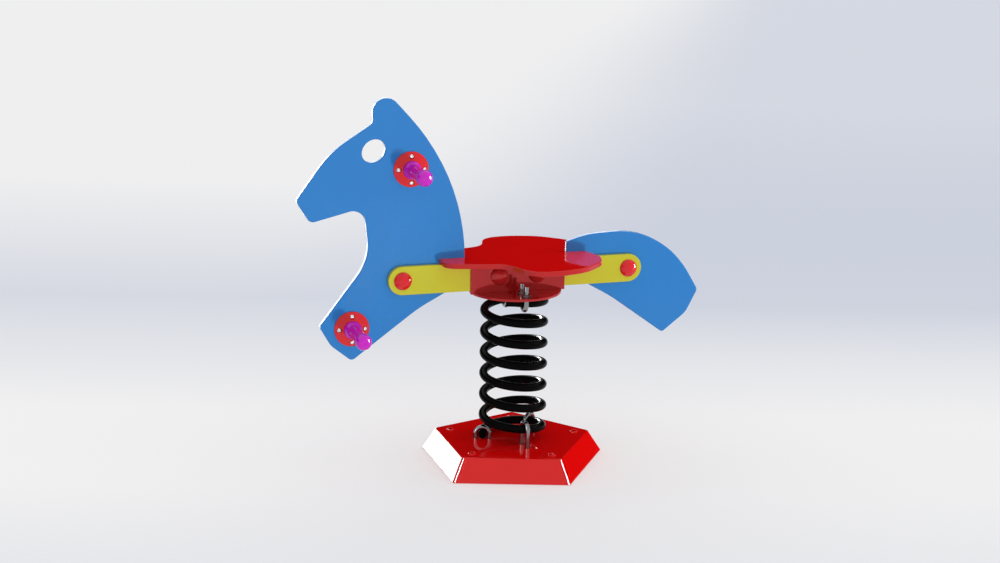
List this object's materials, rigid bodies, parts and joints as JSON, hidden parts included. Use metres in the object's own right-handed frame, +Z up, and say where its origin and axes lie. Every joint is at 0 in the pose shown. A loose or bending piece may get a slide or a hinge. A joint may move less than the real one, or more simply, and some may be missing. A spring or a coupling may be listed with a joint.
{
  "type": "spring rider",
  "caption": "Playground spring rider: a horse of flat panels with a seat, hand grips and footrests, on a coil spring clamped to a five-sided anchor base.",
  "frame": {"origin": "on the spring's axis at ground level, the centre of the circle of anchor holes", "axes": "+X toward the tail, +Y toward the horse's own right-hand side, +Z up"},
  "size_m": [0.8505, 0.3776, 0.761],
  "materials": {
    "base_red": "glossy moulded red",
    "steel_plate": "plain zinc plated",
    "bright_steel": "bright plated",
    "spring_black": "satin black powder coat",
    "bracket_red": "glossy red powder coat",
    "bar_yellow": "glossy solid board",
    "panel_blue": "glossy solid board",
    "seat_red": "glossy solid board",
    "cap_red": "glossy moulded red",
    "grip_magenta": "glossy moulded magenta"
  },
  "bodies": {
    "base": {"base_shell": "base_red", "base_backing": "steel_plate", "lower_ubolt_front": "bright_steel", "lower_ubolt_end": "bright_steel", "lower_ubolt_side": "bright_steel", "lower_nut_1": "bright_steel", "lower_nut_2": "bright_steel", "lower_nut_3": "bright_steel", "lower_nut_4": "bright_steel", "lower_nut_5": "bright_steel", "lower_nut_6": "bright_steel"},
    "spring": {"spring": "spring_black"},
    "rider": {"seat_bracket": "bracket_red", "upper_ubolt_near": "bright_steel", "upper_ubolt_far": "bright_steel", "upper_nut_1": "bright_steel", "upper_nut_2": "bright_steel", "upper_nut_3": "bright_steel", "upper_nut_4": "bright_steel", "core_block": "seat_red", "bar_near": "bar_yellow", "bar_far": "bar_yellow", "front_panel": "panel_blue", "rear_panel": "panel_blue", "seat": "seat_red", "seat_screw_1": "bright_steel", "seat_screw_2": "bright_steel", "seat_screw_3": "bright_steel", "seat_screw_4": "bright_steel", "bolt_front": "bright_steel", "bolt_inner_front": "bright_steel", "bolt_inner_rear": "bright_steel", "bolt_rear": "bright_steel", "cap_front_near": "cap_red", "cap_front_far": "cap_red", "cap_inner_front_near": "cap_red", "cap_inner_front_far": "cap_red", "cap_inner_rear_near": "cap_red", "cap_inner_rear_far": "cap_red", "cap_rear_near": "cap_red", "cap_rear_far": "cap_red", "flange_upper_near": "cap_red", "flange_upper_far": "cap_red", "flange_lower_near": "cap_red", "flange_lower_far": "cap_red", "grip_upper_near": "grip_magenta", "grip_upper_far": "grip_magenta", "grip_lower_near": "grip_magenta", "grip_lower_far": "grip_magenta", "rod_upper": "bright_steel", "rod_lower": "bright_steel", "screw_upper_1": "bright_steel", "screw_upper_2": "bright_steel", "screw_upper_3": "bright_steel", "screw_upper_4": "bright_steel", "screw_lower_1": "bright_steel", "screw_lower_2": "bright_steel", "screw_lower_3": "bright_steel", "screw_lower_4": "bright_steel"}
  },
  "joints": [
    {"name": "rock", "type": "hinge", "parent": "base", "child": "spring", "pos_m": [0, 0, 0.143], "axis": [0, 1, 0], "range_deg": [-20, 20], "stiffness_Nm_per_rad": 360, "deforming": ["spring"]},
    {"name": "sway", "type": "hinge", "parent": "spring", "child": "rider", "pos_m": [0, 0, 0.266], "axis": [1, 0, 0], "range_deg": [-15, 15], "stiffness_Nm_per_rad": 360, "deforming": ["spring"]}
  ]
}
